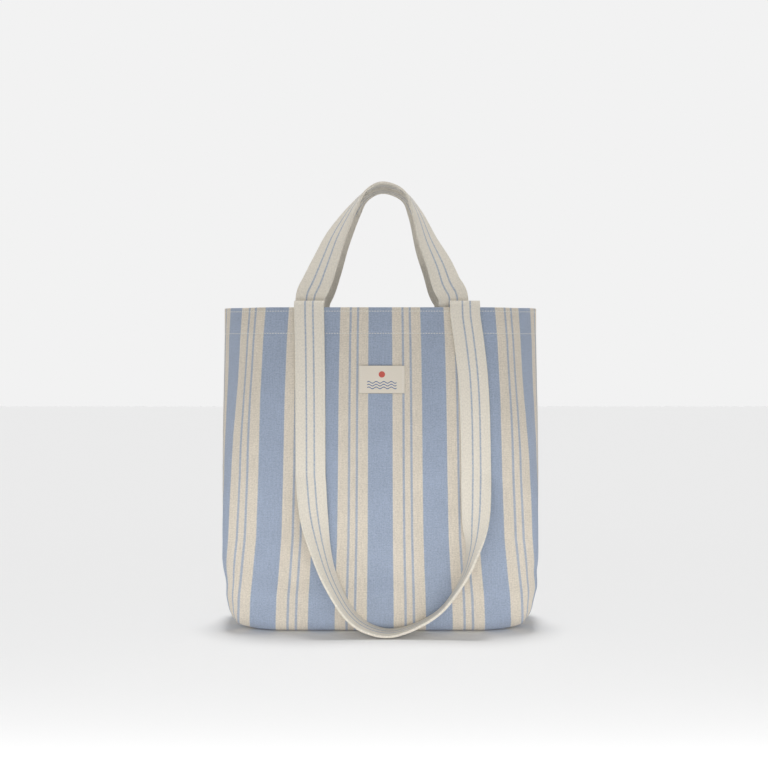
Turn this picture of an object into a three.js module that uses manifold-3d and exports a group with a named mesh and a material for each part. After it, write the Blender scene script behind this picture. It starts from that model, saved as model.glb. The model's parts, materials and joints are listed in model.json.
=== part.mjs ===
// A canvas tote bag with two short hand handles and two long shoulder straps.
// Millimetres, +Z up. The bag stands on Z = 0 with its front towards -Y, so +X is on the
// right seen from the front. The origin is under the middle of the base.
import * as THREE from 'three';
import { mergeVertices } from 'three/addons/utils/BufferGeometryUtils.js';
import Module from 'manifold-3d';

const wasm = await Module();
wasm.setup();

// ---- Driving dimensions -------------------------------------------------------------

// The body
const BAG_HEIGHT = 412;
const CLOTH = 1.2;
const LAYER_GAP = 0.3; // between layers that are sewn together
const HEM_DEPTH = 34;

// Each half panel, from its centre line to the side seam, is a flat stretch, a bend and a
// straight stretch. The bag is boxy at the base and lens-shaped at the mouth.
const BASE_HALF_WIDTH = 206.5;
const BASE_HALF_DEPTH = 58;
const BASE_BEND = 36;
const BASE_TURN = Math.PI / 2;
const MOUTH_HALF_WIDTH = 207.5;
const MOUTH_HALF_DEPTH = 63;
const MOUTH_BEND = 70;
const MOUTH_TURN = THREE.MathUtils.degToRad(58);
const BOXY_BELOW = 90; // the section starts to change here
const BELLY = 5; // how far each panel swells out halfway up
const SIDE_BELLY = 2; // and each side

// The rounding of the bottom edge, at the middle of a panel and at the corners
const EDGE_ROUND = 14;
const CORNER_ROUND = 30;
const CORNER_SLACK = 14; // the corners are slack and draw in by this much more at the base
const SLACK_BELOW = 95;
const SLACK_FULL_BELOW = 10;
const LEAST_RADIUS = 5; // of the bend, where it's pulled in furthest

// Handles and straps: folded cloth, four layers thick
const STRAP_WIDTH = 38;
const STRAP_THICKNESS = 3;
const TUCKED = 30; // the length sewn inside the hem
// From where the mouth starts to bend to the outer edge of each handle or strap end
const HANDLE_LEFT_FROM_BEND = 22;
const HANDLE_RIGHT_FROM_BEND = 18;
const STRAP_LEFT_FROM_BEND = 21;
const STRAP_RIGHT_FROM_BEND = 4;
const HANDLE_RISE = 164; // from the rim to the middle of the handle's top
const HANDLE_NEAR_GAP = 2; // between the two handles where they lean together
const STRAP_STANDOFF = 1.2; // between the hanging strap and the panel
const STRAP_FLOOR_GAP = 1.8; // under the lowest point of the strap's loop
const FOLD_JOINT_Z = 200; // the strap's loop folds here
const PIVOT_ABOVE_RIM = 3; // the long strap's pivot
const HANDLE_PIVOT_ABOVE_RIM = 12.5;
const JOINT_GAP = 2.4; // from a pivot to the end of the fixed piece

// The label
const LABEL_WIDTH = 58;
const LABEL_HEIGHT = 35;
const LABEL_X = 2;
const LABEL_BELOW_RIM = 74;
const LABEL_THICKNESS = 0.9;

// Seam allowances and thread
const ALLOWANCE = 10;
const BOUND_THICKNESS = 2.4;
const THREAD_WIDTH = 0.9;
const THREAD_THICKNESS = 0.5;
const UPPER_ROW = 5; // below the rim
const LOWER_ROW = 33;
const LABEL_ROW_IN = 3;

// ---- Materials ----------------------------------------------------------------------

function fabric(name, color, roughness) {
  return new THREE.MeshStandardMaterial({ name, color, roughness, metalness: 0 });
}

const canvas = fabric('striped_canvas', 0xa9b6cf, 0.9);
const webbing = fabric('strap_canvas', 0xe2dccb, 0.85);
const binding = fabric('seam_binding', 0xd8d2c2, 0.9);
const labelCloth = fabric('label_cloth', 0xeae4d3, 0.8);
const thread = fabric('thread', 0xdcd8cc, 0.7);

// ---- The shape of the cloth ---------------------------------------------------------

const HEM_BOTTOM = BAG_HEIGHT - HEM_DEPTH;

// A measure at height z, from its values at the base and at the mouth
function between(base, mouth, z) {
  const t = THREE.MathUtils.smoothstep(z, BOXY_BELOW, HEM_BOTTOM);
  return THREE.MathUtils.lerp(base, mouth, t);
}

// The share of the belly at height z: none at the base and in the hem
function swell(z) {
  return Math.sin(Math.PI * THREE.MathUtils.clamp(z / HEM_BOTTOM, 0, 1));
}

// How far the bag's front face stands in front of its middle plane at height z
function halfDepth(z) {
  return between(BASE_HALF_DEPTH, MOUTH_HALF_DEPTH, z) + BELLY * swell(z);
}

// The section's measures at height z. half is the length of cloth in a half panel.
function sectionAt(z) {
  const bend = between(BASE_BEND, MOUTH_BEND, z);
  const turn = between(BASE_TURN, MOUTH_TURN, z);
  const radius = bend / turn;
  const depth = halfDepth(z) - LAYER_GAP / 2;
  const straight = (depth - radius * (1 - Math.cos(turn))) / Math.sin(turn);
  const width = between(BASE_HALF_WIDTH, MOUTH_HALF_WIDTH, z) + SIDE_BELLY * swell(z);
  const flat = width - radius * Math.sin(turn) - straight * Math.cos(turn);
  return { half: flat + bend + straight, flat, bend, turn };
}

// How far the rounded bottom edge and the slack corners pull the wall in, at a share of
// the half panel
function edgeInset(share, z) {
  const corner = THREE.MathUtils.smoothstep(share, 0.5, 0.85);
  const round = THREE.MathUtils.lerp(EDGE_ROUND, CORNER_ROUND, corner);
  const below = Math.max(0, 1 - z / round);
  const low = 1 - THREE.MathUtils.smoothstep(z, SLACK_FULL_BELOW, SLACK_BELOW);
  const slack = CORNER_SLACK * low * THREE.MathUtils.smoothstep(share, 0.5, 0.8);
  return round * (1 - Math.sqrt(1 - below * below)) + slack;
}

// A point of the front panel's outer face, moved in by inset. share runs from -1 at the
// left seam through 0 at the centre line to 1 at the right seam.
function wallPoint(share, z, inset) {
  const { half, flat, bend, turn } = sectionAt(z);
  const along = Math.abs(share) * half;
  const heading = turn * THREE.MathUtils.clamp((along - flat) / bend, 0, 1);
  const past = Math.max(0, along - flat - bend);
  const radius = bend / turn;
  const x = Math.min(along, flat) + radius * Math.sin(heading) + past * Math.cos(heading);
  const y = radius * (1 - Math.cos(heading)) + past * Math.sin(heading) - halfDepth(z);
  const all = inset + edgeInset(Math.abs(share), z);
  // Pulled in by more than its radius, the bend moves in with the wall on both its sides
  const moved = Math.max(0, all - (radius - LEAST_RADIUS));
  const beside = 1 - past / (half - flat - bend);
  return new THREE.Vector3(
    Math.sign(share) * (x - all * Math.sin(heading) - moved * (1 - Math.sin(heading))),
    y + all * Math.cos(heading) + moved * (1 - Math.cos(heading)) * beside,
    z,
  );
}

function spread(from, to, steps) {
  return Array.from({ length: steps + 1 }, (_, i) => from + ((to - from) * i) / steps);
}

// ---- Closed meshes ------------------------------------------------------------------

function closedMesh(positions, indices) {
  const geometry = new THREE.BufferGeometry();
  geometry.setAttribute('position', new THREE.Float32BufferAttribute(positions, 3));
  geometry.setIndex(indices);
  return geometry;
}

// Rings of equal length, stacked into one closed solid. Each ring runs anticlockwise seen
// from the end that the stack grows towards, and the two end rings are capped.
function loft(rings) {
  const count = rings[0].length;
  const positions = rings.flat().flatMap((p) => p.toArray());
  const indices = [];
  for (let r = 0; r + 1 < rings.length; r++) {
    for (let i = 0; i < count; i++) {
      const next = (i + 1) % count;
      const [a, b] = [r * count + i, r * count + next];
      indices.push(a, b, b + count, a, b + count, a + count);
    }
  }
  return { positions, indices, count, rings: rings.length };
}

function capped({ positions, indices, count, rings }, capTriangles) {
  const last = (rings - 1) * count;
  for (const [a, b, c] of capTriangles) {
    indices.push(a, c, b, last + a, last + b, last + c);
  }
  return closedMesh(positions, indices);
}

// A solid whose rings lie level
function levelLoft(rings) {
  const outline = rings[0].map((p) => new THREE.Vector2(p.x, p.y));
  return capped(loft(rings), THREE.ShapeUtils.triangulateShape(outline, []));
}

// A solid whose rings have four corners
function barLoft(rings) {
  return capped(loft(rings), [[0, 1, 2], [0, 2, 3]]);
}

// A sheet sewn on the front panel: between two insets, shares and heights
function wallStrip(shares, heights, outerInset, innerInset) {
  const rings = heights.map((z) => [
    ...shares.map((s) => wallPoint(s, z, outerInset)),
    ...shares.map((s) => wallPoint(s, z, innerInset)).reverse(),
  ]);
  const last = shares.length - 1;
  const triangles = [];
  for (let i = 0; i < last; i++) {
    const opposite = 2 * last + 1 - i;
    triangles.push([i, i + 1, opposite - 1], [i, opposite - 1, opposite]);
  }
  return capped(loft(rings), triangles);
}

// The same geometry on the back of the bag
function mirrored(geometry) {
  const copy = geometry.clone().scale(1, -1, 1);
  const index = copy.getIndex();
  for (let i = 0; i < index.count; i += 3) {
    const [a, b] = [index.getX(i), index.getX(i + 1)];
    index.setX(i, b);
    index.setX(i + 1, a);
  }
  return copy;
}

function toManifold(geometry) {
  const merged = mergeVertices(geometry, 1e-4);
  return new wasm.Manifold(new wasm.Mesh({
    numProp: 3,
    vertProperties: merged.getAttribute('position').array,
    triVerts: new Uint32Array(merged.getIndex().array),
  }));
}

function fromManifold(solid) {
  const { vertProperties, triVerts } = solid.getMesh();
  return closedMesh(Array.from(vertProperties), Array.from(triVerts));
}

// ---- Panels -------------------------------------------------------------------------

const PANEL_SHARES = spread(-1, 1, 36);
const PAST_SEAM = 4; // the cutting solid runs on past the seam and the rim
const EDGE_HEIGHTS = [0, 2, 6, 12, 20, CORNER_ROUND];
const WALL_HEIGHTS = [...EDGE_HEIGHTS, 50, ...spread(70, HEM_BOTTOM, 6), BAG_HEIGHT];

// Half of the bag as a shell: its wall and its half of the base, open at the mouth
function panel() {
  const outer = WALL_HEIGHTS.map((z) => PANEL_SHARES.map((s) => wallPoint(s, z, 0)));
  const inner = WALL_HEIGHTS.map((z) => {
    const wall = PANEL_SHARES.map((s) => wallPoint(s, z, CLOTH));
    const [first, last] = [wall[0], wall[wall.length - 1]];
    const lifted = [
      new THREE.Vector3(first.x, PAST_SEAM, z),
      ...wall,
      new THREE.Vector3(last.x, PAST_SEAM, z),
    ];
    return lifted.map((p) => p.setZ(z === BAG_HEIGHT ? z + PAST_SEAM : z + CLOTH));
  });
  return fromManifold(toManifold(levelLoft(outer)).subtract(toManifold(levelLoft(inner))));
}

// ---- Hem, stitching and label -------------------------------------------------------

// The hem stops short of the side seams' allowances, and bends where the panel does
const HEM_SHARES = PANEL_SHARES.slice(1, -1);
const HEM_OUTER = CLOTH + LAYER_GAP;
const HEM_INNER = HEM_OUTER + CLOTH;

function hemFacing() {
  const heights = [HEM_BOTTOM, BAG_HEIGHT - LAYER_GAP];
  return wallStrip(HEM_SHARES, heights, HEM_OUTER, HEM_INNER);
}

function threadRow(shares, low, high, standing) {
  return wallStrip(shares, [low, high], -standing - THREAD_THICKNESS, -standing);
}

function hemRow(belowRim) {
  const middle = BAG_HEIGHT - belowRim;
  const [low, high] = [middle - THREAD_WIDTH / 2, middle + THREAD_WIDTH / 2];
  return threadRow(HEM_SHARES, low, high, LAYER_GAP);
}

const LABEL_TOP = BAG_HEIGHT - LABEL_BELOW_RIM;

// The share at which the flat middle of the panel is x from the centre line
function flatShare(x) {
  return x / sectionAt(LABEL_TOP - LABEL_HEIGHT / 2).half;
}

function label() {
  const ends = [LABEL_X - LABEL_WIDTH / 2, LABEL_X + LABEL_WIDTH / 2];
  const shares = spread(flatShare(ends[0]), flatShare(ends[1]), 4);
  const heights = spread(LABEL_TOP - LABEL_HEIGHT, LABEL_TOP, 3);
  return wallStrip(shares, heights, -LAYER_GAP - LABEL_THICKNESS, -LAYER_GAP);
}

function labelRow(side) {
  const middle = LABEL_X + side * (LABEL_WIDTH / 2 - LABEL_ROW_IN);
  const shares = [middle - THREAD_WIDTH / 2, middle + THREAD_WIDTH / 2].map(flatShare);
  const [low, high] = [LABEL_TOP - LABEL_HEIGHT + 1, LABEL_TOP - 1];
  return threadRow(shares, low, high, LABEL_THICKNESS + 2 * LAYER_GAP);
}

// ---- Seam allowances ----------------------------------------------------------------

// The side seams' rings, which bend where the panels do
const SEAM_TOP = HEM_BOTTOM - 2;
const SEAM_HEIGHTS = [...WALL_HEIGHTS.filter((z) => z > CORNER_ROUND && z < SEAM_TOP), SEAM_TOP];
const BESIDE_WALL = BOUND_THICKNESS / 2 + LAYER_GAP;

// The inner face of the wall at height z, where the seam allowance's thickness meets it
function seamEdgeX(z) {
  const { turn } = sectionAt(z);
  const corner = wallPoint(1, z, CLOTH);
  return corner.x - (BESIDE_WALL + corner.y) / Math.tan(turn) - LAYER_GAP;
}

function sideSeam(side) {
  const rings = SEAM_HEIGHTS.map((z) => {
    const edge = seamEdgeX(z);
    const [low, high] = side > 0 ? [edge - ALLOWANCE, edge] : [-edge, ALLOWANCE - edge];
    const half = BOUND_THICKNESS / 2;
    return [[low, -half], [high, -half], [high, half], [low, half]].map(
      ([x, y]) => new THREE.Vector3(x, y, z),
    );
  });
  return barLoft(rings);
}

function seamBox(length, width, x) {
  const box = new THREE.BoxGeometry(length, width, BOUND_THICKNESS);
  return box.translate(x, 0, CLOTH + LAYER_GAP + BOUND_THICKNESS / 2);
}

// The base's short edges, where the boxed corners are sewn across
const BASE_END_X = wallPoint(1, 0, CLOTH).x;

function cornerSeam(side) {
  const width = 2 * (BASE_HALF_DEPTH - CORNER_ROUND - CORNER_SLACK);
  return seamBox(ALLOWANCE, width, side * (BASE_END_X - ALLOWANCE / 2 - LAYER_GAP));
}

function bottomSeam() {
  return seamBox(2 * (BASE_END_X - ALLOWANCE - 3 * LAYER_GAP), ALLOWANCE, 0);
}

// ---- Ribbons: handles and straps ----------------------------------------------------

// A folded strap swept along hand-placed stations of x, z and turn in degrees. At turn 0
// the strap faces the front and at 90 it is edge-on. outward is 1 for a loop that hangs
// and -1 for a handle that arches up. depthOf gives y from z and the turn. Both ends are
// cut level.
function ribbon(stations, steps, outward, depthOf) {
  const line = new THREE.CatmullRomCurve3(
    stations.map(([x, z, turn]) => new THREE.Vector3(x, turn, z)),
    false,
    'centripetal',
  );
  const places = line.getPoints(steps).map((p) => {
    const turn = THREE.MathUtils.degToRad(p.y);
    return { turn, at: new THREE.Vector3(p.x, depthOf(p.z, turn), p.z) };
  });
  const rings = places.map(({ turn, at }, i) => {
    const before = places[Math.max(0, i - 1)].at;
    const after = places[Math.min(places.length - 1, i + 1)].at;
    const tangent = after.clone().sub(before).normalize();
    if (i === 0 || i === places.length - 1) {
      tangent.set(0, 0, Math.sign(tangent.z));
    }
    const flatOut = new THREE.Vector3(tangent.z, 0, -tangent.x).normalize();
    const across = flatOut.multiplyScalar(outward * Math.cos(turn));
    across.add(new THREE.Vector3(0, -outward * Math.sin(turn), 0));
    across.addScaledVector(tangent, -across.dot(tangent)).normalize();
    const face = across.clone().cross(tangent).normalize();
    across.multiplyScalar(STRAP_WIDTH / 2);
    face.multiplyScalar(STRAP_THICKNESS / 2);
    return [[-1, -1], [-1, 1], [1, 1], [1, -1]].map(([w, t]) =>
      at.clone().addScaledVector(across, w).addScaledVector(face, t),
    );
  });
  return barLoft(rings);
}

const OUTERMOST_X = sectionAt(BAG_HEIGHT).flat - STRAP_WIDTH / 2;
const HANDLE_LEFT_X = HANDLE_LEFT_FROM_BEND - OUTERMOST_X;
const HANDLE_RIGHT_X = OUTERMOST_X - HANDLE_RIGHT_FROM_BEND;
const STRAP_LEFT_X = STRAP_LEFT_FROM_BEND - OUTERMOST_X;
const STRAP_RIGHT_X = OUTERMOST_X - STRAP_RIGHT_FROM_BEND;
const RIM_Y = -halfDepth(BAG_HEIGHT);
const HALF_THICK = STRAP_THICKNESS / 2;
const STRAP_END_Y = RIM_Y + HEM_INNER + LAYER_GAP + HALF_THICK;
const HANDLE_END_Y = STRAP_END_Y + STRAP_THICKNESS + LAYER_GAP;
const STRAP_PIVOT_Z = BAG_HEIGHT + PIVOT_ABOVE_RIM;
const HANDLE_PIVOT_Z = BAG_HEIGHT + HANDLE_PIVOT_ABOVE_RIM;

// The end of a handle or strap, tucked in behind the hem and sewn to it
function tuckedEnd(x, y, top) {
  const height = top - (BAG_HEIGHT - TUCKED);
  const box = new THREE.BoxGeometry(STRAP_WIDTH, STRAP_THICKNESS, height);
  return box.translate(x, y, top - height / 2);
}

// The hanging strap lies just off the panel, with its far edge still clear when it turns
function strapDepth(z, turn) {
  const edgeOn = Math.sin(turn);
  const reach = (STRAP_WIDTH / 2) * edgeOn + HALF_THICK * (1 - edgeOn);
  return -halfDepth(z) - STRAP_STANDOFF - reach;
}

const STRAP_TOP_Y = strapDepth(BAG_HEIGHT, 0);
const STRAP_PIVOT_Y = (STRAP_TOP_Y + STRAP_END_Y) / 2;
const FOLD_RADIUS = (STRAP_END_Y - STRAP_TOP_Y) / 2;
const FOLD_END_Z = STRAP_PIVOT_Z - LAYER_GAP; // the end and the leg both stop here

// The turn of the strap over the rim
function strapFold(x) {
  const rings = spread(0, Math.PI, 10).map((angle) => {
    const out = new THREE.Vector3(0, Math.cos(angle), Math.sin(angle));
    const middle = new THREE.Vector3(x, STRAP_PIVOT_Y, STRAP_PIVOT_Z + LAYER_GAP);
    const [near, far] = [FOLD_RADIUS - HALF_THICK, FOLD_RADIUS + HALF_THICK];
    const half = STRAP_WIDTH / 2;
    return [[-half, near], [half, near], [half, far], [-half, far]].map(([along, r]) =>
      middle.clone().addScaledVector(out, r).add(new THREE.Vector3(along, 0, 0)),
    );
  });
  return barLoft(rings);
}

// The straight part of each leg, from the rim down to the fold joint
const LEG_BOTTOM = FOLD_JOINT_Z + JOINT_GAP;
const LEFT_DRIFT = 2; // how far to the right each leg hangs of where it is sewn
const RIGHT_DRIFT = 14;
const LOOP_LEFT_X = STRAP_LEFT_X + LEFT_DRIFT;
const LOOP_RIGHT_X = STRAP_RIGHT_X + RIGHT_DRIFT;

function strapLeg(topX, drift) {
  const fall = FOLD_END_Z - LEG_BOTTOM;
  const stations = [
    [topX, FOLD_END_Z, 0],
    [topX + 0.03 * drift, FOLD_END_Z - 0.06 * fall, 0],
    [topX + 0.36 * drift, FOLD_END_Z - 0.22 * fall, 0],
    [topX + 0.7 * drift, FOLD_END_Z - 0.42 * fall, 0],
    [topX + 0.88 * drift, FOLD_END_Z - 0.64 * fall, 0],
    [topX + drift, LEG_BOTTOM, 0],
  ];
  return ribbon(stations, 16, 1, strapDepth);
}

// The loop below the fold joint: down the left, edge-on along the floor, up the right
const LOOP_LOW_Z = STRAP_FLOOR_GAP + HALF_THICK;

// Stations as shares of the span between the legs and of the fall below the joint
const LOOP_SHAPE = [
  [0, 1, 0],
  [0.02, 0.75, 25],
  [0.06, 0.54, 52],
  [0.12, 0.34, 67],
  [0.23, 0.13, 76],
  [0.32, 0.04, 82],
  [0.44, 0, 88],
  [0.59, 0.03, 92],
  [0.78, 0.14, 94],
  [0.915, 0.34, 88],
  [0.975, 0.53, 70],
  [0.995, 0.73, 30],
  [1, 1, 0],
];

function strapLoop() {
  const stations = LOOP_SHAPE.map(([across, up, turn]) => [
    THREE.MathUtils.lerp(LOOP_LEFT_X, LOOP_RIGHT_X, across),
    THREE.MathUtils.lerp(LOOP_LOW_Z, FOLD_JOINT_Z, up),
    turn,
  ]);
  return ribbon(stations, 60, 1, strapDepth);
}

// The handle arches up from the rim and leans in until it meets the other handle
function handleDepth(z) {
  const top = -(STRAP_WIDTH + HANDLE_NEAR_GAP) / 2;
  const risen = (z - HANDLE_PIVOT_Z) / (BAG_HEIGHT + HANDLE_RISE - HANDLE_PIVOT_Z);
  return THREE.MathUtils.lerp(HANDLE_END_Y, top, THREE.MathUtils.smoothstep(risen, 0, 1));
}

// Stations as shares of the span between the handle's ends and of its rise over the pivot
const HANDLE_SHAPE = [
  [0, 0, 0],
  [0.006, 0.04, 1],
  [0.045, 0.14, 8],
  [0.105, 0.33, 28],
  [0.175, 0.55, 46],
  [0.3, 0.82, 71],
  [0.38, 0.94, 84],
  [0.5, 1, 90],
  [0.66, 0.94, 84],
  [0.745, 0.78, 70],
  [0.83, 0.5, 48],
  [0.905, 0.29, 28],
  [0.955, 0.12, 8],
  [0.993, 0.04, 1],
  [1, 0, 0],
];

function handle() {
  const stations = HANDLE_SHAPE.map(([across, up, turn]) => [
    THREE.MathUtils.lerp(HANDLE_LEFT_X, HANDLE_RIGHT_X, across),
    THREE.MathUtils.lerp(HANDLE_PIVOT_Z, BAG_HEIGHT + HANDLE_RISE, up),
    turn,
  ]);
  return ribbon(stations, 60, -1, handleDepth);
}

// ---- The assembly -------------------------------------------------------------------

const group = new THREE.Group();

function add(name, geometry, material) {
  const mesh = new THREE.Mesh(geometry, material);
  mesh.name = name;
  group.add(mesh);
}

// A piece that the bag has on its front and, mirrored, on its back
function addPair(name, geometry, material) {
  add(`front_${name}`, geometry, material);
  add(`back_${name}`, mirrored(geometry), material);
}

addPair('panel', panel(), canvas);
addPair('hem_facing', hemFacing(), canvas);
addPair('hem_upper_stitching', hemRow(UPPER_ROW), thread);
addPair('hem_lower_stitching', hemRow(LOWER_ROW), thread);

for (const [side, sign] of [['left', -1], ['right', 1]]) {
  add(`${side}_side_seam`, sideSeam(sign), binding);
  add(`${side}_corner_seam`, cornerSeam(sign), binding);
  add(`label_${side}_stitching`, labelRow(sign), thread);
}
add('bottom_seam', bottomSeam(), binding);
add('label', label(), labelCloth);

const HANDLE_END_TOP = HANDLE_PIVOT_Z - JOINT_GAP;
addPair('handle_left_end', tuckedEnd(HANDLE_LEFT_X, HANDLE_END_Y, HANDLE_END_TOP), webbing);
addPair('handle_right_end', tuckedEnd(HANDLE_RIGHT_X, HANDLE_END_Y, HANDLE_END_TOP), webbing);
addPair('short_handle', handle(), webbing);

addPair('strap_left_end', tuckedEnd(STRAP_LEFT_X, STRAP_END_Y, FOLD_END_Z), webbing);
addPair('strap_right_end', tuckedEnd(STRAP_RIGHT_X, STRAP_END_Y, FOLD_END_Z), webbing);
addPair('strap_left_fold', strapFold(STRAP_LEFT_X), webbing);
addPair('strap_right_fold', strapFold(STRAP_RIGHT_X), webbing);
addPair('strap_left_leg', strapLeg(STRAP_LEFT_X, LEFT_DRIFT), webbing);
addPair('strap_right_leg', strapLeg(STRAP_RIGHT_X, RIGHT_DRIFT), webbing);
addPair('strap_loop', strapLoop(), webbing);

export default group;
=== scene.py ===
"""A striped canvas tote bag with two short hand handles and two long shoulder straps.

The bag stands on z = 0 with its front towards -Y. All lengths are in metres.
"""

import json
import math

import bpy
import numpy as np
from mathutils import Vector, noise
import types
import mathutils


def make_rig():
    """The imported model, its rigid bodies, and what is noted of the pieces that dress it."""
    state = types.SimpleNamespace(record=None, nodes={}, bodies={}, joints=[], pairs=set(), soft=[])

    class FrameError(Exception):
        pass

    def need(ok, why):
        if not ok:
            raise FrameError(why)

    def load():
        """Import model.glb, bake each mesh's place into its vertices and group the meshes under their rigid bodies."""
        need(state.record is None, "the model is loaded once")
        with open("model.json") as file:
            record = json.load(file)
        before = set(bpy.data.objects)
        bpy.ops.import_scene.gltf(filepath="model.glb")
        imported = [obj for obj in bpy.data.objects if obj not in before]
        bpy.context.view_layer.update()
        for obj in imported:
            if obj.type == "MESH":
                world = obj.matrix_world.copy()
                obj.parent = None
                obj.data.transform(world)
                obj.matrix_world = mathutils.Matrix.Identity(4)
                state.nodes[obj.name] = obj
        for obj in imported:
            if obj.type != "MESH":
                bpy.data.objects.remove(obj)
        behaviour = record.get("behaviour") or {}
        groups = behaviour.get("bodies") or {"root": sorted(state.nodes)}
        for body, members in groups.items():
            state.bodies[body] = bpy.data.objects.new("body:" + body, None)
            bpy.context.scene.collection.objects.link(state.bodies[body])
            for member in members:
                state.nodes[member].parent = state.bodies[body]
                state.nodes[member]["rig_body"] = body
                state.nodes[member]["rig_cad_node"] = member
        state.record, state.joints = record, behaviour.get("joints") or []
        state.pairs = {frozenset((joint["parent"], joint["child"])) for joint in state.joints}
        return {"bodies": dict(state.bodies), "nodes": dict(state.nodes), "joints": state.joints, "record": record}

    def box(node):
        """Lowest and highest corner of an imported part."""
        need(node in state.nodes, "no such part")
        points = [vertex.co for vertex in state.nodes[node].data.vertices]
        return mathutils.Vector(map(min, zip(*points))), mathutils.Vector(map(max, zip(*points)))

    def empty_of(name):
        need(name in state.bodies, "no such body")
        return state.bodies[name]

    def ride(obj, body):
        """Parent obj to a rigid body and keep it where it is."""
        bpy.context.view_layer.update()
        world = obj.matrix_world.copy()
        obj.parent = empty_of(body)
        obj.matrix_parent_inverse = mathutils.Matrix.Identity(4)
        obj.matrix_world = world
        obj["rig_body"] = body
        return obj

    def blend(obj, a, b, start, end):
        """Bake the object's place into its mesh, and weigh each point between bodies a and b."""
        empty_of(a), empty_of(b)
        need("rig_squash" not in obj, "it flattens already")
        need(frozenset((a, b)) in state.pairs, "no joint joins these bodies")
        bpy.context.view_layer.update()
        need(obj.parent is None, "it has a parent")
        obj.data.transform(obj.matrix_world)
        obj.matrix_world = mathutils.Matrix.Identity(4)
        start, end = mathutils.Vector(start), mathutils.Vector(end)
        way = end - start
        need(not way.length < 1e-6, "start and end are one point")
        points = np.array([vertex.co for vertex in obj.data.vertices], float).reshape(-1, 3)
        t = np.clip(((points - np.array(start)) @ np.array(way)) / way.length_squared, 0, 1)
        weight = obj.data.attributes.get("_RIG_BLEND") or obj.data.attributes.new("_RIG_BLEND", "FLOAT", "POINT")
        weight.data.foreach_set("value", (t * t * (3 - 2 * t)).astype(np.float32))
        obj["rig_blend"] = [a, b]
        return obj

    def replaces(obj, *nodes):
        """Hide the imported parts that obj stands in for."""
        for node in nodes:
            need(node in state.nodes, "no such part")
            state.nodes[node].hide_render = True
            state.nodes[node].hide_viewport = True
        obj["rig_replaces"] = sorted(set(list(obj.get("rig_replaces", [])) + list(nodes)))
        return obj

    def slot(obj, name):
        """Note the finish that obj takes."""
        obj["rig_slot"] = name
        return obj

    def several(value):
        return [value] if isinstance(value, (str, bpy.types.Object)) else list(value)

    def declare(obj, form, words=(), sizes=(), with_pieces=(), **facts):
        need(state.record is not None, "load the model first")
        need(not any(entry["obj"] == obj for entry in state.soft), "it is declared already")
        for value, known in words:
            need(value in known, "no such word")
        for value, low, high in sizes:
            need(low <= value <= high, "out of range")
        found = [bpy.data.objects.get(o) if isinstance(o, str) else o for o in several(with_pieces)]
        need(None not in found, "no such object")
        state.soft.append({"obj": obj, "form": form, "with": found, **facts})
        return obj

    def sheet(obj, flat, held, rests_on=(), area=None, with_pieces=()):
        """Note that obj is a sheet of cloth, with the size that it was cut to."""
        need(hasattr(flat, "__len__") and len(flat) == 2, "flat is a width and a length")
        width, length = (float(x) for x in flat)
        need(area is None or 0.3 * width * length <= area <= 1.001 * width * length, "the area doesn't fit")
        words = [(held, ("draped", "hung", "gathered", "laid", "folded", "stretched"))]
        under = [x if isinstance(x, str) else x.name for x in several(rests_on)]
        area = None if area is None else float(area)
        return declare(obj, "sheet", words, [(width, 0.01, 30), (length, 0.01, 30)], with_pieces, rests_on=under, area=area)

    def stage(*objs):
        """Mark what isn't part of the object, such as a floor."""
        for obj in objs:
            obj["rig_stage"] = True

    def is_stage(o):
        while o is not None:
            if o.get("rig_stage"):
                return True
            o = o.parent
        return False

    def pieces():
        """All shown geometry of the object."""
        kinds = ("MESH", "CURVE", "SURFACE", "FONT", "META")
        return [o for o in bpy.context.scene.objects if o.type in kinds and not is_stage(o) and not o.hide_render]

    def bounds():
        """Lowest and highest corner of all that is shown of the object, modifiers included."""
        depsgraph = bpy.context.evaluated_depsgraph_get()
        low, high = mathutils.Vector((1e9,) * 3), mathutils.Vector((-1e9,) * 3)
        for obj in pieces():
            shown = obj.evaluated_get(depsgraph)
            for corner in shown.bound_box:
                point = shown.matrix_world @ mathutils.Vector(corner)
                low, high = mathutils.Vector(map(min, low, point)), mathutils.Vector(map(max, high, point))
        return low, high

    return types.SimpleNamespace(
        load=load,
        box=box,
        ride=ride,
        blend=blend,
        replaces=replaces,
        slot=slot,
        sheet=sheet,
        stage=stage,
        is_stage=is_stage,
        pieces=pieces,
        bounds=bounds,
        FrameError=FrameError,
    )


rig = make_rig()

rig.load()
cad_low, cad_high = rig.bounds()

# ---- Driving dimensions, as in the CAD part ------------------------------------------

RIM_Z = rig.box("front_panel")[1].z
CLOTH = 0.0012
LAYER_GAP = 0.0003
HEM_DEPTH = 0.034
HEM_BOTTOM = RIM_Z - HEM_DEPTH
BASE_HALF_WIDTH, MOUTH_HALF_WIDTH = 0.2065, 0.2075
BASE_HALF_DEPTH, MOUTH_HALF_DEPTH = 0.058, 0.063
BASE_BEND, MOUTH_BEND = 0.036, 0.070
BASE_TURN, MOUTH_TURN = math.pi / 2, math.radians(58)
BOXY_BELOW = 0.090
BELLY, SIDE_BELLY = 0.005, 0.002
EDGE_ROUND, CORNER_ROUND = 0.014, 0.030
CORNER_SLACK, SLACK_BELOW, SLACK_FULL_BELOW = 0.014, 0.095, 0.010
LEAST_RADIUS = 0.005  # of the bend at the base corners, where it is pulled in furthest

STRAP_WIDTH = 0.038
STRAP_THICKNESS = 0.003
STRAP_STANDOFF = 0.0012
UPPER_ROW, LOWER_ROW = 0.005, 0.033

# ---- The finer shape of the cloth ----------------------------------------------------

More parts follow.
